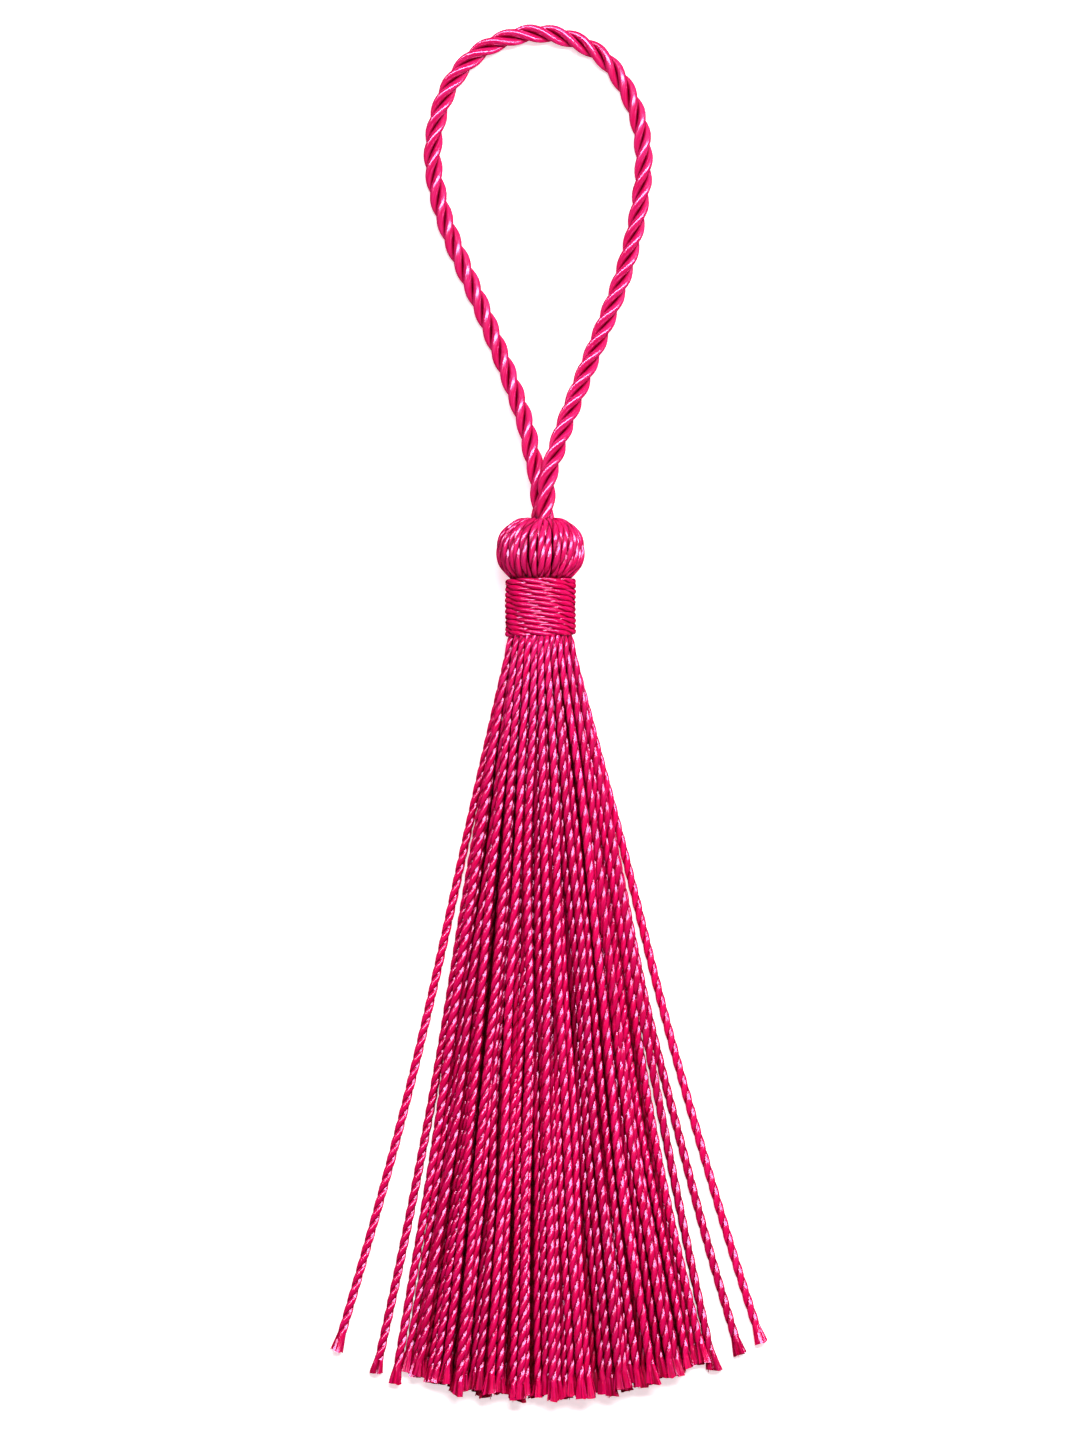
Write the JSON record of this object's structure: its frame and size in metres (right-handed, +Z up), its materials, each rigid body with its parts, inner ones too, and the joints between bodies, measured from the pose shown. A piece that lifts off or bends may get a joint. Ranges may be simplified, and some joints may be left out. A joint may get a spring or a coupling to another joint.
{
  "type": "silk tassel with hanging loop",
  "caption": "Twisted silk tassel lying on its side: ribbed round head, wound neck, long spreading skirt of twisted strands, and a three-ply cord loop.",
  "frame": {"origin": "on the surface under the middle of the head and skirt taken together, the loop left out", "axes": "+Y from the hem towards the loop, along the tassel; +X to the right seen from above; +Z up from the surface that the tassel lies on"},
  "size_m": [0.073, 0.2293, 0.0136],
  "materials": {
    "skirt_silk": "glossy twisted silk yarn, hot pink",
    "binding_silk": "glossy twisted silk yarn, wound tight, hot pink",
    "cord_silk": "glossy three-ply silk cord, hot pink"
  },
  "bodies": {
    "root": {"head_and_skirt": "skirt_silk", "neck_binding": "binding_silk", "hanging_loop": "cord_silk"}
  },
  "joints": []
}
